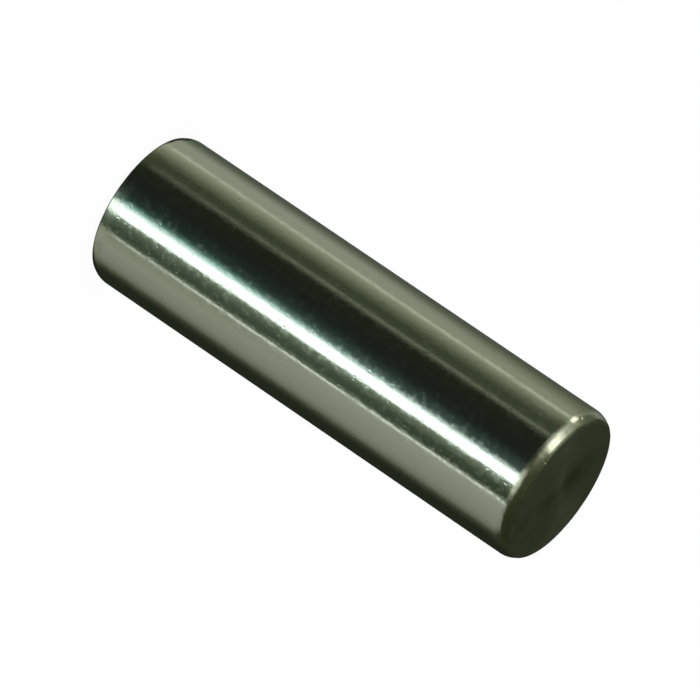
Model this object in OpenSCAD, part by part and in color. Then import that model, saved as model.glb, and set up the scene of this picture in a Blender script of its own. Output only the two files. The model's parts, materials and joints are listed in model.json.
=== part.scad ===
// Piston pin: one solid pin of hardened steel. Its side is ground to a fit size over the whole length,
// both ends are faced flat, and a blended lead-in at each end starts it into its bores.
// The pin stands on one end: Z runs along its axis, up from the lower end face at Z = 0.

/* [Pin] */
// Diameter of the ground side, the size that fits the piston's bores
pin_d = 12; // [8:0.5:25]
// Length over both end faces
pin_l = 38; // [20:0.5:100]

/* [Lead-in] */
// Length of the taper along the pin, at each end
lead_l = 0.75; // [0.4:0.05:1.5]
// Depth of the taper, from the ground side in to the end face
lead_depth = 0.4; // [0.2:0.05:0.8]
// Radius that blends the ground side into the taper, made smaller where the taper is too short for it
shoulder_r = 1.36; // [0.1:0.02:2.5]
// Radius that blends the taper into the end face, made smaller in the same way
nose_r = 0.51; // [0.1:0.02:0.8]

/* [Hidden] */

$fn = 128;

pin_r = pin_d / 2;
taper_angle = atan2(lead_depth, lead_l);
taper_slope = norm([lead_depth, lead_l]);
straight_share = 0.1; // least share of the taper that stays straight between its two blends

// How far a blend of radius r reaches along each of its two sides, at a corner that turns by an angle.
function reach(r, turn) = r * tan(turn / 2);

// Both blends shrink together where they would meet on the taper.
blends_reach = reach(shoulder_r, taper_angle) + reach(nose_r, 90 - taper_angle);
blend_scale = min(1, taper_slope * (1 - straight_share) / blends_reach);

// Corners of half of the pin's section, each with its blend radius: [distance from the axis, height, blend].
lower_corners = [
    [0, 0, 0],
    [pin_r - lead_depth, 0, nose_r * blend_scale],
    [pin_r, lead_l, shoulder_r * blend_scale]
];
upper_corners = [
    for (i = [len(lower_corners) - 1:-1:0])
        [lower_corners[i].x, pin_l - lower_corners[i].y, lower_corners[i].z]
];
section = concat(lower_corners, upper_corners);

function at(corner) = [corner.x, corner.y];
function unit(v) = v / norm(v);

// Unit vectors from corner i towards its two neighbours.
function sides(corners, i) =
    let (n = len(corners))
    [for (j = [i + n - 1, i + 1]) unit(at(corners[j % n]) - at(corners[i]))];

// Half of the angle inside corner i.
function half_angle(corners, i) =
    let (s = sides(corners, i))
    acos(s[0] * s[1]) / 2;

// Where corner i's blend meets its two sides, or the corner itself where it has no blend.
function blend_ends(corners, i) =
    let (r = corners[i].z)
    r == 0
        ? [at(corners[i])]
        : [for (s = sides(corners, i)) at(corners[i]) + s * r / tan(half_angle(corners, i))];

// The part of corner i's blend disc outside the straight line between the blend's ends.
module blend(corners, i) {
    r = corners[i].z;
    ends = blend_ends(corners, i);
    inward = unit(sides(corners, i)[0] + sides(corners, i)[1]);
    intersection() {
        translate(at(corners[i]) + inward * r / sin(half_angle(corners, i))) circle(r);
        polygon([ends[0], ends[1], ends[1] - inward * r, ends[0] - inward * r]);
    }
}

// An outline with each of its corners rounded by the corner's own blend radius.
module blended_outline(corners) {
    polygon([for (i = [0:len(corners) - 1]) each blend_ends(corners, i)]);
    for (i = [0:len(corners) - 1])
        if (corners[i].z > 0) blend(corners, i);
}

module piston_pin() {
    color("gainsboro")
        rotate_extrude()
            blended_outline(section);
}

piston_pin();
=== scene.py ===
# Piston pin of hardened steel: ground and lapped side, tumbled lead-ins, faced ends, in a plain studio.
import json
import math
import bpy
from mathutils import Matrix, Vector


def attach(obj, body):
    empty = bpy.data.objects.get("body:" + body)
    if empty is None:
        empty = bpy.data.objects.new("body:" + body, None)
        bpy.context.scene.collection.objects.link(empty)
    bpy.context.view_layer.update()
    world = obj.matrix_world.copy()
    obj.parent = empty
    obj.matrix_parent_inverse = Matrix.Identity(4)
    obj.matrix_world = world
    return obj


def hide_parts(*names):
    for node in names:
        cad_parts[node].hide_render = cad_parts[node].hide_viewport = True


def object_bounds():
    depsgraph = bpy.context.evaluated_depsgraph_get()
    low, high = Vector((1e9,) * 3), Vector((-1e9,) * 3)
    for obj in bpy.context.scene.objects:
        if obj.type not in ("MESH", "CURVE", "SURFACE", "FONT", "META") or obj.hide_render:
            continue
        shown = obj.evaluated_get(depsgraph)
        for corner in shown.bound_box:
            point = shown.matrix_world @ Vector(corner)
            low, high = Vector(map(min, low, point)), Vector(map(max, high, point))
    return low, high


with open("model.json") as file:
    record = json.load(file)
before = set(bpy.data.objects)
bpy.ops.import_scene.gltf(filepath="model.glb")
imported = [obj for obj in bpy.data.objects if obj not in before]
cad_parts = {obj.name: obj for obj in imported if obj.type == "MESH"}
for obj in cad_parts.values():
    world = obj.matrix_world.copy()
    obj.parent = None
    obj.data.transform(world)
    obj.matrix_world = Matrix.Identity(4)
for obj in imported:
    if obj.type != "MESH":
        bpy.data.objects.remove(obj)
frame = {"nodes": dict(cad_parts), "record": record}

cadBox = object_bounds()
mm = 0.001
print("frame loaded:", ", ".join(frame["nodes"]))


def linearColour(hexCode):     # the sRGB curve, undone
    channels = [int(hexCode[i:i + 2], 16) / 255 for i in (1, 3, 5)]
    return [*(c / 12.92 if c <= 0.04045 else ((c + 0.055) / 1.055) ** 2.4 for c in channels), 1.0]


def setInput(tree, socket, value):
    if isinstance(value, bpy.types.NodeSocket):
        tree.links.new(value, socket)
    else:
        socket.default_value = value


def addNode(tree, kind, settings=None, inputs=None):
    node = tree.nodes.new(kind)
    for name, value in (settings or {}).items():
        setattr(node, name, value)
    for name, value in (inputs or {}).items():
        setInput(tree, node.inputs[name], value)
    return node


def newMaterial(name):
    material = bpy.data.materials.new(name)
    material.use_nodes = True
    material.node_tree.nodes.clear()
    return material, material.node_tree


def setRamp(node, stops):  # stops are (position, hex) from left to right
    ramp = node.color_ramp
    while len(ramp.elements) > 1:
        ramp.elements.remove(ramp.elements[-1])
    for number, (position, hexCode) in enumerate(stops):
        element = ramp.elements[0] if number == 0 else ramp.elements.new(position)
        element.position = position
        element.color = linearColour(hexCode)


# The pin stands on its end, and a level camera is rolled until it lies across the view.
camera = {
    "elevation": 20.96,        # degrees above the floor
    "roll": 124.22,            # degrees, turns the pin's upper end to the lower right
    "distance": 662.6 * mm,
    "viewSide": 700,           # pixels
    "focalPixels": 9460,
    "pinCentre": (349.65, 346.38),   # pixels from the view's left and top
    "sensorWidth": 36,         # millimetres, as Blender counts it
    "clip": (10 * mm, 10000 * mm),
}


def addCamera():
    tilt, roll = math.radians(camera["elevation"]), math.radians(camera["roll"])
    levelRight, levelUp = Vector((1, 0, 0)), Vector((0, math.sin(tilt), math.cos(tilt)))
    back = Vector((0, -math.cos(tilt), math.sin(tilt)))
    right = levelRight * math.cos(roll) + levelUp * math.sin(roll)
    up = levelUp * math.cos(roll) - levelRight * math.sin(roll)
    middle = camera["viewSide"] / 2
    pixel = camera["distance"] / camera["focalPixels"]     # one pixel's width at the pin
    offset = right * (middle - camera["pinCentre"][0]) - up * (middle - camera["pinCentre"][1])
    target = (cadBox[0] + cadBox[1]) / 2 + offset * pixel

    data = bpy.data.cameras.new("camera")
    data.sensor_width = camera["sensorWidth"]
    data.lens = data.sensor_width * camera["focalPixels"] / camera["viewSide"]
    data.clip_start, data.clip_end = camera["clip"]
    view = bpy.data.objects.new("camera", data)
    turn = Matrix((right, up, back)).transposed().to_4x4()
    view.matrix_world = Matrix.Translation(target + back * camera["distance"]) @ turn
    bpy.context.scene.collection.objects.link(view)
    bpy.context.scene.camera = view


addCamera()
print("camera placed")

# Floor and world are plain white, so only the pin's own soft shadow marks the floor.
floor = {
    "radius": 1500 * mm,
    "corners": 96,
    "colour": "#fcfcfc",
    "cameraWhite": 0.95,       # how much of the floor the camera sees as pure white
}


def addFloor():
    mesh = bpy.data.meshes.new("floor")
    radius, count = floor["radius"], floor["corners"]
    angles = [math.tau * i / count for i in range(count)]
    corners = [(radius * math.cos(angle), radius * math.sin(angle), 0) for angle in angles]
    mesh.from_pydata(corners, [], [range(count)])
    disc = bpy.data.objects.new("floor", mesh)
    bpy.context.scene.collection.objects.link(disc)
    material, tree = newMaterial("matt white card")
    seen = addNode(tree, "ShaderNodeLightPath").outputs["Is Camera Ray"]
    share = addNode(tree, "ShaderNodeMath", {"operation": "MULTIPLY"}, {0: seen, 1: floor["cameraWhite"]})
    matt = addNode(tree, "ShaderNodeBsdfDiffuse", {}, {"Color": linearColour(floor["colour"])})
    white = addNode(tree, "ShaderNodeEmission")
    both = addNode(tree, "ShaderNodeMixShader", {}, {
        0: share.outputs[0], 1: matt.outputs[0], 2: white.outputs[0]})
    addNode(tree, "ShaderNodeOutputMaterial", {}, {"Surface": both.outputs[0]})
    mesh.materials.append(material)
    disc.visible_glossy = False        # the polished side mirrors the light cards instead


def addWorld():
    world = bpy.data.worlds.new("white room")
    world.use_nodes = True
    world.node_tree.nodes["Background"].inputs["Color"].default_value = (1, 1, 1, 1)
    world.node_tree.nodes["Background"].inputs["Strength"].default_value = 1.0
    bpy.context.scene.world = world
    bpy.context.scene.view_settings.view_transform = "Standard"


addFloor()
addWorld()
print("floor and world made")

# Only the pin's mirror finish sees the light cards. Each is a part of one ball round the pin, with tones
# that run from one azimuth to another. Azimuth 0 is the camera's side, and 90 is the left of someone who
# faces the camera from the pin.
ball = {
    "radius": 250 * mm,
    "centre": 19 * mm,         # above the floor
    "footLine": -27,           # degrees of elevation, and a card that starts here runs on below it
    "strength": 1.67,          # steel returns six tenths of what it mirrors, so a tone shows as written
    "step": 3,                 # degrees between a card's edges
    "floorRows": 12,
}
lowerWall = (ball["footLine"], 4)
# A card's inset, in mm, sets it in front of others, and its gain multiplies its light. A soft card fades
# out at its upper and lower edges, or all round if it is oval.
lightCards = [
    {"name": "greyWall", "azimuth": (-180, -45), "elevation": lowerWall, "tones": [
        (-180, "#4a5046"), (-150, "#42483e"), (-136, "#5a6152"), (-120, "#828878"), (-92, "#838976"),
        (-76, "#565d49"), (-66, "#343c2b"), (-49, "#3a4032"), (-45, "#1c2117")]},
    {"name": "darkRoom", "azimuth": (-45, 14), "elevation": lowerWall, "tones": [
        (-45, "#1c2117"), (-18, "#191d19"), (-8, "#1e2722"), (0, "#2a3a33"), (6, "#3f504a"),
        (10, "#5c766f"), (14, "#b4cac5")]},
    {"name": "windowStrip", "azimuth": (14.5, 29.4), "elevation": lowerWall, "inset": 2, "gain": 1.3,
        "tones": [(14.5, "#9cb6b0"), (16, "#ecfff6"), (28.6, "#ecfff3"), (29.4, "#b8c6b8")]},
    {"name": "darkGap", "azimuth": (28.5, 56), "elevation": lowerWall, "tones": [
        (28.5, "#b0b8ae"), (31, "#6c7664"), (36, "#505c4c"), (42, "#404b3c"), (48, "#384334"),
        (56, "#586252")]},
    {"name": "paleWall", "azimuth": (56, 180), "elevation": lowerWall, "tones": [
        (56, "#888e81"), (96, "#767b6d"), (106, "#656b59"), (116, "#363b2d"), (126, "#20251a"),
        (165, "#1c201a"), (180, "#3a4038")]},
    {"name": "doorEdge", "azimuth": (-100, -92), "elevation": (ball["footLine"], 24), "inset": 4, "tones": [
        (-100, "#8c907e"), (-98, "#a0a492"), (-96, "#a0a492"), (-92, "#808672")]},
    {"name": "shelfEdge", "azimuth": (-56, -49), "elevation": (-30, 4), "inset": 4, "soft": 0.6, "tones": [
        (-56, "#474e3d"), (-54, "#5a6050"), (-52, "#5a6050"), (-49, "#3e4434")]},
    {"name": "frameEdge", "azimuth": (55.8, 60), "elevation": (-31, 4), "inset": 4, "soft": 0.6, "tones": [
        (55.8, "#a0a898"), (56.6, "#ccd4c6"), (58.2, "#c6cec0"), (60, "#8c9280")]},
    {"name": "oliveWall", "azimuth": (-180, 180), "elevation": (4, 38), "tones": [
        (-180, "#2b2f25"), (-150, "#2f3529"), (-110, "#545a46"), (-90, "#767b66"), (-50, "#7c826c"),
        (0, "#464c38"), (30, "#30361f"), (90, "#262b1b"), (180, "#2b2f25")]},
    {"name": "oliveCeiling", "azimuth": (-180, 180), "elevation": (38, 90), "tones": [
        (-180, "#31362a"), (-120, "#363b2d"), (-60, "#484e3c"), (20, "#363c2a"), (120, "#262b1d"),
        (160, "#31362a")]},
    {"name": "ceilingGlow", "azimuth": (-132, -20), "elevation": (34, 84), "inset": 1, "soft": 0.95,
        "oval": True, "tones": [(-132, "#7c826a")]},
    {"name": "wallTop", "azimuth": (-170, -118), "elevation": (-12, 14), "inset": 2, "soft": 0.9,
        "oval": True, "tones": [(-170, "#747a70")]},
    {"name": "curtain", "azimuth": (-16, 14), "elevation": (-21, 6), "inset": 1, "soft": 0.35, "tones": [
        (-16, "#191c18"), (-8, "#1a1f1a"), (0, "#27342d"), (6, "#2f3c35"), (10, "#46564e"),
        (14, "#bcc8c0")]},
    {"name": "wallShade", "azimuth": (-150, -66), "elevation": (-24, 10), "inset": 1, "soft": 0.8,
        "tones": [(-150, "#444a3c"), (-120, "#62674f"), (-108, "#7b806a"), (-94, "#787d67"),
        (-84, "#5a5f4a"), (-76, "#3e4432"), (-66, "#30362a")]},
    {"name": "gapShade", "azimuth": (40, 56), "elevation": (-21, 6), "inset": 1, "soft": 0.35, "tones": [
        (40, "#3c4636"), (47, "#343c2f"), (52, "#2e3629"), (56, "#7c8674")]},
    {"name": "farShade", "azimuth": (47, 78), "elevation": (-40, -20), "inset": 1, "soft": 0.35, "tones": [
        (47, "#343e30"), (52, "#3c4737"), (56, "#5c6654"), (60, "#767c6a"), (78, "#828876")]},
    {"name": "farGlow", "azimuth": (-10, 16), "elevation": (-40, -20), "inset": 1, "soft": 0.35, "tones": [
        (-10, "#1c211e"), (1, "#1f2d27"), (5, "#344b43"), (9, "#668a80"), (12, "#b4d4ca"),
        (16, "#e4f8f0")]},
    {"name": "doorShade", "azimuth": (-46, 12), "elevation": (-6, 17), "inset": 1.5, "soft": 0.7, "tones": [
        (-46, "#5c6250"), (-36, "#363b2e"), (-10, "#30362a"), (12, "#3c4236")]},
    {"name": "softBox", "azimuth": (-92, -18), "elevation": (-7, 56), "inset": 8, "gain": 0.75,
        "soft": 0.95, "oval": True, "tones": [(-92, "#f4fae6")]},
    {"name": "softBoxLamp", "azimuth": (-70, -30), "elevation": (10, 52), "inset": 9, "gain": 1.5,
        "soft": 0.85, "oval": True, "tones": [(-70, "#f4fae6")]},
    {"name": "windowGlow", "azimuth": (-6, 54), "elevation": (-15, 28), "inset": 1.8, "soft": 0.9,
        "oval": True, "tones": [(-6, "#bcc4b2")]},
    {"name": "screen", "azimuth": (90, 134), "elevation": (-16, 14), "inset": 1.4, "soft": 0.9,
        "oval": True, "tones": [(90, "#2c3122")]},
    {"name": "darkDoorway", "azimuth": (165, 195), "elevation": (-48, 6), "inset": 6, "tones": [
        (165, "#0e120e")]},
    {"name": "darkCorner", "azimuth": (140, 220), "elevation": (-72, -29), "inset": 6, "tones": [
        (140, "#141814")]},
    {"name": "smallLamp", "azimuth": (-104, -86), "elevation": (-9, 17), "inset": 8, "gain": 1.8,
        "soft": 0.7, "oval": True, "tones": [(-104, "#f8ffec")]},
]


def addLightCard(card):
    def steps(low, high):
        count = max(1, round((high - low) / ball["step"]))
        return [low + (high - low) * i / count for i in range(count + 1)]

    def ballPoint(azimuth, elevation):   # on a ball of radius 1
        level = math.cos(elevation)
        return Vector((math.sin(azimuth) * level, -math.cos(azimuth) * level, math.sin(elevation)))

    def floorPoint(azimuth, share):    # share runs from 0 on the foot line to 1 at the back point
        point = ballPoint(azimuth, foot).lerp(ballPoint(math.pi, foot), share)
        return Vector((point.x, point.y, -math.sqrt(1 - point.x ** 2 - point.y ** 2)))

    foot = math.radians(ball["footLine"])
    azimuths = [math.radians(angle) for angle in steps(*card["azimuth"])]
    rows = [[ballPoint(a, math.radians(e)) for a in azimuths] for e in steps(*card["elevation"])]
    # Below the foot line a card runs on over the ball's floor, as straight strips to one point at the
    # back, so the pin's lower lead-in mirrors the same bands.
    if card["elevation"][0] == ball["footLine"]:
        shares = [i / ball["floorRows"] for i in range(1, ball["floorRows"] + 1)]
        rows = [[floorPoint(a, share) for a in azimuths] for share in reversed(shares)] + rows
    radius, centre = ball["radius"] - card.get("inset", 0) * mm, Vector((0, 0, ball["centre"]))
    wide = len(azimuths)
    faces = [(first + i, first + i + 1, first + wide + i + 1, first + wide + i)
             for first in range(0, wide * (len(rows) - 1), wide) for i in range(wide - 1)]
    mesh = bpy.data.meshes.new(card["name"])
    mesh.from_pydata([centre + corner * radius for row in rows for corner in row], [], faces)
    across = mesh.uv_layers.new(name="across")
    for loop in mesh.loops:
        row, column = divmod(loop.vertex_index, wide)
        across.data[loop.index].uv = (column / (wide - 1), row / (len(rows) - 1))

    material, tree = newMaterial(card["name"])
    place = addNode(tree, "ShaderNodeUVMap", {"uv_map": "across"})
    parts = addNode(tree, "ShaderNodeSeparateXYZ", {}, {0: place.outputs[0]})
    ramp = addNode(tree, "ShaderNodeValToRGB", {}, {"Fac": parts.outputs[0]})
    first, last = card["azimuth"]
    setRamp(ramp, [((angle - first) / (last - first), tone) for angle, tone in card["tones"]])
    glow = addNode(tree, "ShaderNodeEmission", {}, {
        "Color": ramp.outputs["Color"], "Strength": ball["strength"] * card.get("gain", 1)})
    if "soft" in card:     # fades out over this share of the way from its middle to its edge
        half = 0.5         # place runs from 0 to 1 across the card
        fromMiddle = addNode(tree, "ShaderNodeVectorMath", {"operation": "SUBTRACT"}, {
            0: place.outputs[0], 1: (half, half, 0)})
        counted = addNode(tree, "ShaderNodeVectorMath", {"operation": "MULTIPLY"}, {
            0: fromMiddle.outputs[0], 1: (1 if card.get("oval") else 0, 1, 0)})
        reach = addNode(tree, "ShaderNodeVectorMath", {"operation": "LENGTH"}, {0: counted.outputs[0]})
        inside = addNode(tree, "ShaderNodeMapRange", {"interpolation_type": "SMOOTHSTEP"}, {
            "Value": reach.outputs["Value"], "From Min": half, "From Max": half * (1 - card["soft"])})
        clear = addNode(tree, "ShaderNodeBsdfTransparent")
        glow = addNode(tree, "ShaderNodeMixShader", {}, {
            0: inside.outputs["Result"], 1: clear.outputs[0], 2: glow.outputs[0]})
    addNode(tree, "ShaderNodeOutputMaterial", {}, {"Surface": glow.outputs[0]})
    material.cycles.emission_sampling = "NONE"     # a card isn't a lamp
    mesh.materials.append(material)
    made = bpy.data.objects.new(card["name"], mesh)
    bpy.context.scene.collection.objects.link(made)
    made.visible_camera = made.visible_diffuse = made.visible_transmission = False
    made.visible_volume_scatter = made.visible_shadow = False


for lightCard in lightCards:
    addLightCard(lightCard)
print("stage made:", len(lightCards), "light cards")

groundSide = {
    "colour": "#cbcdc8",
    "roughness": 0.085,
    "haze": 0.15,              # added roughness where lapping has left fine scratches
    "hazePatch": 0.42 * mm,    # the scratches are far too fine to show, so only their patches are drawn
    "hazeLevels": (0.47, 0.7),
    "marks": 0.3,              # how much further a reflection spreads along the pin than across it
    "waveLength": 1.3 * mm,    # slow waves left by the grinding wheel, drawn higher than they are
    "waveHeight": 0.0045 * mm,
    "peelLength": 0.4 * mm,    # the unevenness that lapping leaves, drawn coarser and higher than it is
    "peelHeight": 0.004 * mm,
    "nickLength": 0.28 * mm,
    "nickDepth": 0.005 * mm,
    "nickLevels": (0.63, 0.79),
    "nickCluster": 2.5 * mm,   # nicks stand in groups of about this size
    "clusterLevels": (0.48, 0.6),
}
quarterTurn = 0.25             # grinding marks and rings run round the pin and spread light across them


def lappedBearingSteel():
    # Bearing steel, hardened, centreless ground and lapped. It mirrors the room in straight bands that run
    # along the pin, with a patchy haze beside the brightest one and small nicks that light up near it.
    look = groundSide
    material, tree = newMaterial("lapped bearing steel")
    place = addNode(tree, "ShaderNodeTexCoord").outputs["Object"]
    haze = addNode(tree, "ShaderNodeTexNoise", {}, {
        "Vector": place, "Scale": 1 / look["hazePatch"], "Detail": 3.0, "Roughness": 0.6})
    hazy = addNode(tree, "ShaderNodeMapRange", {}, {
        "Value": haze.outputs["Fac"],
        "From Min": look["hazeLevels"][0], "From Max": look["hazeLevels"][1],
        "To Min": look["roughness"], "To Max": look["roughness"] + look["haze"]})
    waves = addNode(tree, "ShaderNodeTexNoise", {}, {
        "Vector": place, "Scale": 1 / look["waveLength"], "Detail": 0.0})
    waveBump = addNode(tree, "ShaderNodeBump", {}, {
        "Height": waves.outputs["Fac"], "Distance": look["waveHeight"], "Strength": 1.0})
    peel = addNode(tree, "ShaderNodeTexNoise", {}, {
        "Vector": place, "Scale": 1 / look["peelLength"], "Detail": 1.0})
    peelBump = addNode(tree, "ShaderNodeBump", {}, {
        "Height": peel.outputs["Fac"], "Distance": look["peelHeight"], "Strength": 1.0,
        "Normal": waveBump.outputs["Normal"]})
    nicks = addNode(tree, "ShaderNodeTexNoise", {}, {
        "Vector": place, "Scale": 1 / look["nickLength"], "Detail": 1.0})
    nicked = addNode(tree, "ShaderNodeMapRange", {"interpolation_type": "SMOOTHSTEP"}, {
        "Value": nicks.outputs["Fac"],
        "From Min": look["nickLevels"][0], "From Max": look["nickLevels"][1]})
    clusters = addNode(tree, "ShaderNodeTexNoise", {}, {"Vector": place, "Scale": 1 / look["nickCluster"]})
    crowded = addNode(tree, "ShaderNodeMapRange", {}, {
        "Value": clusters.outputs["Fac"],
        "From Min": look["clusterLevels"][0], "From Max": look["clusterLevels"][1]})
    depth = addNode(tree, "ShaderNodeMath", {"operation": "MULTIPLY"}, {
        0: nicked.outputs["Result"], 1: crowded.outputs["Result"]})
    nickBump = addNode(tree, "ShaderNodeBump", {"invert": True}, {
        "Height": depth.outputs[0], "Distance": look["nickDepth"], "Strength": 1.0,
        "Normal": peelBump.outputs["Normal"]})
    around = addNode(tree, "ShaderNodeTangent", {"direction_type": "RADIAL", "axis": "Z"})
    shader = addNode(tree, "ShaderNodeBsdfPrincipled", {}, {
        "Base Color": linearColour(look["colour"]), "Metallic": 1.0, "Roughness": hazy.outputs["Result"],
        "Anisotropic": look["marks"], "Anisotropic Rotation": quarterTurn,
        "Tangent": around.outputs["Tangent"], "Normal": nickBump.outputs["Normal"]})
    addNode(tree, "ShaderNodeOutputMaterial", {}, {"Surface": shader.outputs["BSDF"]})
    return material


leadIn = {
    "colour": "#cbcbc3",
    "roughness": 0.18,
    "dentLength": 0.35 * mm,
    "dentHeight": 0.008 * mm,
    "turningPitch": 0.07 * mm,
    "turningHeight": 0.0015 * mm,
    "turningDrawnOut": 0.08,   # squeezes the pattern across the pin, so that the traces run round it
    "stain": "#8f8468",        # old oil, browned
    "stainPatch": 0.9 * mm,
    "stainLevels": (0.5, 0.75),
    "stainMost": 0.4,
    "nicks": [(-4.89, -3.30, 37.42), (-0.98, -5.54, 37.88), (3.90, 4.41, 37.44)],   # x, y and z in mm
    "nickRadius": 0.16 * mm,
    "nickDepth": 0.022 * mm,
}


def tumbledSteel():
    # Turned steel with its edges rounded off in a tumbler: softer than the side, faintly lumpy and a little
    # stained, with traces of the turning tool that run round the pin.
    look = leadIn
    material, tree = newMaterial("tumbled steel")
    place = addNode(tree, "ShaderNodeTexCoord").outputs["Object"]
    dents = addNode(tree, "ShaderNodeTexNoise", {}, {
        "Vector": place, "Scale": 1 / look["dentLength"], "Detail": 3.0})
    bump = addNode(tree, "ShaderNodeBump", {}, {
        "Height": dents.outputs["Fac"], "Distance": look["dentHeight"], "Strength": 1.0})
    drawnOut = look["turningDrawnOut"]
    roundPin = addNode(tree, "ShaderNodeMapping", {"vector_type": "POINT"}, {
        "Vector": place, "Scale": (drawnOut, drawnOut, 1)})
    traces = addNode(tree, "ShaderNodeTexNoise", {}, {
        "Vector": roundPin.outputs[0], "Scale": 1 / look["turningPitch"], "Detail": 2.0})
    traceBump = addNode(tree, "ShaderNodeBump", {}, {
        "Height": traces.outputs["Fac"], "Distance": look["turningHeight"], "Strength": 1.0,
        "Normal": bump.outputs["Normal"]})
    normal = traceBump.outputs["Normal"]
    for nick in look["nicks"]:
        away = addNode(tree, "ShaderNodeVectorMath", {"operation": "DISTANCE"}, {
            0: place, 1: [value * mm for value in nick]})
        hollow = addNode(tree, "ShaderNodeMapRange", {"interpolation_type": "SMOOTHSTEP"}, {
            "Value": away.outputs["Value"], "From Min": look["nickRadius"], "From Max": 0.0})
        normal = addNode(tree, "ShaderNodeBump", {"invert": True}, {
            "Height": hollow.outputs["Result"], "Distance": look["nickDepth"], "Strength": 1.0,
            "Normal": normal}).outputs["Normal"]
    patches = addNode(tree, "ShaderNodeTexNoise", {}, {
        "Vector": place, "Scale": 1 / look["stainPatch"], "Detail": 4.0})
    stained = addNode(tree, "ShaderNodeMapRange", {}, {
        "Value": patches.outputs["Fac"],
        "From Min": look["stainLevels"][0], "From Max": look["stainLevels"][1],
        "To Max": look["stainMost"]})
    # The mix node's colour inputs are 6 and 7, and its colour output is 2.
    colour = addNode(tree, "ShaderNodeMix", {"data_type": "RGBA"}, {
        0: stained.outputs["Result"], 6: linearColour(look["colour"]), 7: linearColour(look["stain"])})
    shader = addNode(tree, "ShaderNodeBsdfPrincipled", {}, {
        "Base Color": colour.outputs[2], "Metallic": 1.0, "Roughness": look["roughness"], "Normal": normal})
    addNode(tree, "ShaderNodeOutputMaterial", {}, {"Surface": shader.outputs["BSDF"]})
    return material


facedEnd = {
    "colour": "#c2c5bc",
    "roughness": 0.36,
    "marks": 0.6,              # how much further a reflection spreads across the rings than along them
    "ringPitch": 0.12 * mm,    # about twice the real feed, which is too fine to show
    "ringHeight": 0.0015 * mm,
    "dull": "#b2b4a6",         # where the cut has torn a little
    "dullPatch": 3.5 * mm,
    "dullLevels": (0.42, 0.62),
    "paintedShadeTone": "#8c8872",         # painted shade: darker spots near the centre of the upper end, where the rings' sheen leaves it dark
    "paintedShadeSpots": [(-1.2, 0.3, 0.8), (1.1, -1.0, 0.4), (2.2, 3.8, 0.3)],   # x and y in mm, and how strong
    "paintedShadeRadius": 1.6 * mm,
}


def facedSteel():
    # Hardened steel faced on a lathe and left so: dull, with fine rings whose sheen makes two soft sectors.
    look = facedEnd
    material, tree = newMaterial("faced steel")
    place = addNode(tree, "ShaderNodeTexCoord").outputs["Object"]
    flat = addNode(tree, "ShaderNodeVectorMath", {"operation": "MULTIPLY"}, {0: place, 1: (1, 1, 0)})
    outFromAxis = addNode(tree, "ShaderNodeVectorMath", {"operation": "LENGTH"}, {0: flat.outputs[0]})
    rings = addNode(tree, "ShaderNodeTexNoise", {"noise_dimensions": "1D"}, {
        "W": outFromAxis.outputs["Value"], "Scale": 1 / look["ringPitch"], "Detail": 2.0})
    bump = addNode(tree, "ShaderNodeBump", {}, {
        "Height": rings.outputs["Fac"], "Distance": look["ringHeight"], "Strength": 1.0})
    around = addNode(tree, "ShaderNodeTangent", {"direction_type": "RADIAL", "axis": "Z"})
    patches = addNode(tree, "ShaderNodeTexNoise", {}, {
        "Vector": place, "Scale": 1 / look["dullPatch"], "Detail": 3.0})
    torn = addNode(tree, "ShaderNodeMapRange", {}, {
        "Value": patches.outputs["Fac"],
        "From Min": look["dullLevels"][0], "From Max": look["dullLevels"][1]})
    colour = addNode(tree, "ShaderNodeMix", {"data_type": "RGBA"}, {
        0: torn.outputs["Result"], 6: linearColour(look["colour"]),
        7: linearColour(look["dull"])}).outputs[2]
    # Painted shade: the colour darkens in soft spots beside the centre, standing in for the dark sectors of
    # the rings' sheen.
    for x, y, strength in look["paintedShadeSpots"]:
        away = addNode(tree, "ShaderNodeVectorMath", {"operation": "DISTANCE"}, {
            0: place, 1: (x * mm, y * mm, cadBox[1].z)})
        inPaintedShade = addNode(tree, "ShaderNodeMapRange", {"interpolation_type": "SMOOTHSTEP"}, {
            "Value": away.outputs["Value"], "From Min": look["paintedShadeRadius"], "From Max": 0.0,
            "To Max": strength})
        colour = addNode(tree, "ShaderNodeMix", {"data_type": "RGBA"}, {
            0: inPaintedShade.outputs["Result"], 6: colour, 7: linearColour(look["paintedShadeTone"])}).outputs[2]
    shader = addNode(tree, "ShaderNodeBsdfPrincipled", {}, {
        "Base Color": colour, "Metallic": 1.0, "Roughness": look["roughness"],
        "Anisotropic": look["marks"], "Anisotropic Rotation": quarterTurn,
        "Tangent": around.outputs["Tangent"], "Normal": bump.outputs["Normal"]})
    addNode(tree, "ShaderNodeOutputMaterial", {}, {"Surface": shader.outputs["BSDF"]})
    return material


# The pin's half section is filleted, cut into rows and swept round the axis.
mount = next(m for m in frame["record"]["mounts"] if m["name"] == "ground_side")
pin = {                        # each of these is an input of the geometry nodes
    "Radius": mount["dims"]["r_mm"] * mm,
    "Length": (cadBox[1] - cadBox[0]).z,
    "Lead-in Length": 0.75 * mm,
    "Lead-in Depth": 0.4 * mm,
    "Shoulder Radius": 1.36 * mm,
    "Nose Radius": 0.51 * mm,
    "Blend Steps": 6,
    "Finest Row": 0.06 * mm,
    "Most Cuts": 36,
    "Steps Around": 512,
    "Merge Distance": 0.001 * mm,
    "Lump Size": 0.8 * mm,     # what tumbling leaves on the lead-ins
    "Lump Height": 0.02 * mm,
    "Lump Start": 6.0,         # how fast the lumps set in from the side
    "Lump End": 8.0,           # how fast they fade out by the end face
    "Side Limit": 0.02,        # less steep than this is the side
    "End Limit": 0.995,        # steeper than this is an end
    "Seed": 7,
}
socketKinds = {float: "NodeSocketFloat", int: "NodeSocketInt"}


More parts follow.
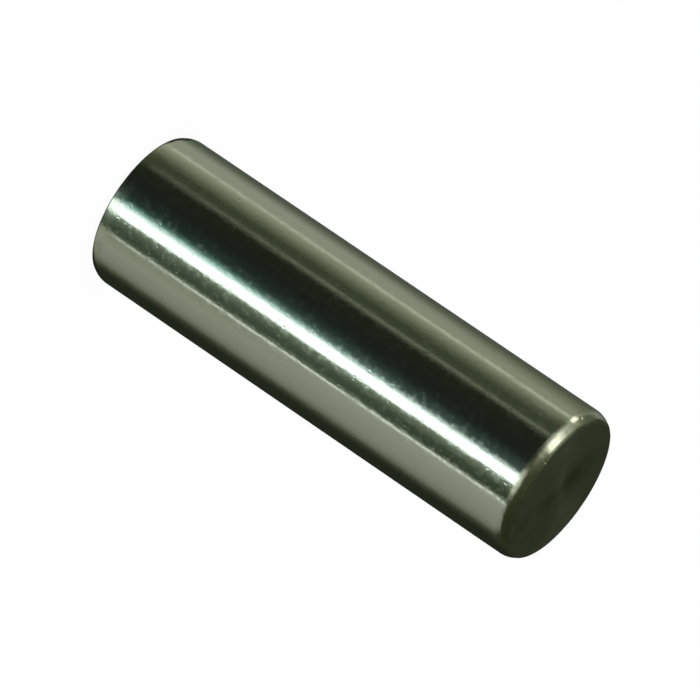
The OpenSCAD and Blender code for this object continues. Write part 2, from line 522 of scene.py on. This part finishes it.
def turnedPinTree(materials):
    tree = bpy.data.node_groups.new("turned pin", "GeometryNodeTree")
    for name, value in pin.items():
        tree.interface.new_socket(name, in_out="INPUT", socket_type=socketKinds[type(value)])
    tree.interface.new_socket("Geometry", in_out="OUTPUT", socket_type="NodeSocketGeometry")
    given = addNode(tree, "NodeGroupInput").outputs

    def calculate(operation, *values):
        return addNode(tree, "ShaderNodeMath", {"operation": operation}, dict(enumerate(values))).outputs[0]

    def point(x, y):
        return addNode(tree, "ShaderNodeCombineXYZ", {}, {"X": x, "Y": y}).outputs[0]

    def pick(kind, values):   # one value for each corner, by its number
        node = addNode(tree, "GeometryNodeIndexSwitch", {"data_type": kind})
        while len(node.index_switch_items) < len(values):
            node.index_switch_items.new()
        tree.links.new(addNode(tree, "GeometryNodeInputIndex").outputs[0], node.inputs["Index"])
        for number, value in enumerate(values, start=1):
            setInput(tree, node.inputs[number], value)
        return node.outputs[0]

    # The section's x is the distance from the axis, and its y is the height turned over, which the sweep
    # turns back.
    faceRadius = calculate("SUBTRACT", given["Radius"], given["Lead-in Depth"])
    upperShoulder = calculate("SUBTRACT", given["Length"], given["Lead-in Length"])
    heights = [calculate("MULTIPLY", height, -1.0)
               for height in (given["Lead-in Length"], upperShoulder, given["Length"])]
    corners = [point(0.0, 0.0), point(faceRadius, 0.0), point(given["Radius"], heights[0]),
               point(given["Radius"], heights[1]), point(faceRadius, heights[2]), point(0.0, heights[2])]
    blends = [0.0, given["Nose Radius"], given["Shoulder Radius"],
              given["Shoulder Radius"], given["Nose Radius"], 0.0]
    line = addNode(tree, "GeometryNodeCurvePrimitiveLine")
    sixPoints = addNode(tree, "GeometryNodeResampleCurve", {}, {
        "Curve": line.outputs[0], "Count": len(corners)})
    section = addNode(tree, "GeometryNodeSetPosition", {}, {
        "Geometry": sixPoints.outputs[0], "Position": pick("VECTOR", corners)})
    filleted = addNode(tree, "GeometryNodeFilletCurve", {"mode": "POLY"}, {
        "Curve": section.outputs[0], "Count": given["Blend Steps"], "Radius": pick("FLOAT", blends)})

    # Long straight stretches are cut into rows, so that the smooth shading of a blend stays near it.
    here = addNode(tree, "GeometryNodeInputPosition").outputs[0]
    index = addNode(tree, "GeometryNodeInputIndex").outputs[0]
    after = addNode(tree, "GeometryNodeFieldAtIndex", {"data_type": "FLOAT_VECTOR"}, {
        "Index": calculate("ADD", index, 1.0), "Value": here}).outputs[0]
    between = addNode(tree, "ShaderNodeVectorMath", {"operation": "DISTANCE"}, {0: here, 1: after})
    span = between.outputs["Value"]
    cuts = calculate("MINIMUM", calculate("DIVIDE", span, given["Finest Row"]), given["Most Cuts"])
    rows = addNode(tree, "GeometryNodeSubdivideCurve", {}, {"Curve": filleted.outputs[0], "Cuts": cuts})

    # The sweep's circle has the pin's radius, so the section is moved in by as much.
    inwards = point(calculate("MULTIPLY", given["Radius"], -1.0), 0.0)
    moved = addNode(tree, "GeometryNodeSetPosition", {}, {"Geometry": rows.outputs[0], "Offset": inwards})
    circle = addNode(tree, "GeometryNodeCurvePrimitiveCircle", {"mode": "RADIUS"}, {
        "Resolution": given["Steps Around"], "Radius": given["Radius"]})
    swept = addNode(tree, "GeometryNodeCurveToMesh", {}, {
        "Curve": circle.outputs[0], "Profile Curve": moved.outputs[0]})
    closed = addNode(tree, "GeometryNodeMergeByDistance", {}, {
        "Geometry": swept.outputs[0], "Distance": given["Merge Distance"]})
    outward = addNode(tree, "GeometryNodeFlipFaces", {}, {"Mesh": closed.outputs[0]})
    smooth = addNode(tree, "GeometryNodeSetShadeSmooth", {}, {"Geometry": outward.outputs[0]})
    lumpy = addNode(tree, "GeometryNodeSetPosition", {}, {"Geometry": smooth.outputs[0]})

    # The steepness is 0 on the side, 1 on the ends and between them on the lead-ins.
    normal = addNode(tree, "GeometryNodeInputNormal").outputs[0]
    steepness = calculate("ABSOLUTE", addNode(tree, "ShaderNodeSeparateXYZ", {}, {0: normal}).outputs["Z"])
    setIn = calculate("MINIMUM", calculate("MULTIPLY", steepness, given["Lump Start"]), 1.0)
    fromEnd = calculate("SUBTRACT", 1.0, steepness)
    fadeOut = calculate("MINIMUM", calculate("MULTIPLY", fromEnd, given["Lump End"]), 1.0)
    onLeadIn = calculate("MULTIPLY", setIn, fadeOut)
    lumps = addNode(tree, "ShaderNodeTexNoise", {"noise_dimensions": "4D"}, {
        "Vector": here, "W": given["Seed"], "Detail": 1.0,
        "Scale": calculate("DIVIDE", 1.0, given["Lump Size"])})
    share = calculate("MULTIPLY", lumps.outputs["Fac"], onLeadIn)
    depth = calculate("MULTIPLY", share, given["Lump Height"])
    inwardsBy = addNode(tree, "ShaderNodeVectorMath", {"operation": "SCALE"}, {
        0: normal, "Scale": calculate("MULTIPLY", depth, -1.0)})
    tree.links.new(inwardsBy.outputs[0], lumpy.inputs["Offset"])
    real = addNode(tree, "GeometryNodeRealizeInstances", {}, {"Geometry": lumpy.outputs[0]})
    leadIns = addNode(tree, "GeometryNodeSetMaterial", {}, {
        "Geometry": real.outputs[0], "Material": materials["leadIn"]})
    side = addNode(tree, "GeometryNodeSetMaterial", {}, {
        "Geometry": leadIns.outputs[0], "Material": materials["side"],
        "Selection": calculate("LESS_THAN", steepness, given["Side Limit"])})
    finished = addNode(tree, "GeometryNodeSetMaterial", {}, {
        "Geometry": side.outputs[0], "Material": materials["end"],
        "Selection": calculate("GREATER_THAN", steepness, given["End Limit"])})
    addNode(tree, "NodeGroupOutput", {}, {"Geometry": finished.outputs[0]})
    return tree


def makePin():
    materials = {"side": lappedBearingSteel(), "leadIn": tumbledSteel(), "end": facedSteel()}
    tree = turnedPinTree(materials)
    maker = bpy.data.objects.new("pinMaker", bpy.data.meshes.new("pinMaker"))
    bpy.context.scene.collection.objects.link(maker)
    modifier = maker.modifiers.new("turned pin", "NODES")
    modifier.node_group = tree
    for item in tree.interface.items_tree:
        if item.in_out == "INPUT":
            modifier[item.identifier] = pin[item.name]
    evaluated = maker.evaluated_get(bpy.context.evaluated_depsgraph_get())
    mesh = bpy.data.meshes.new_from_object(evaluated)
    mesh.name = "pistonPin"
    made = bpy.data.objects.new("pistonPin", mesh)
    bpy.context.scene.collection.objects.link(made)
    bpy.data.objects.remove(maker)
    return made


pistonPin = makePin()
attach(pistonPin, "root")
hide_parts("piston_pin")
print("pin made:", len(pistonPin.data.vertices), "vertices")
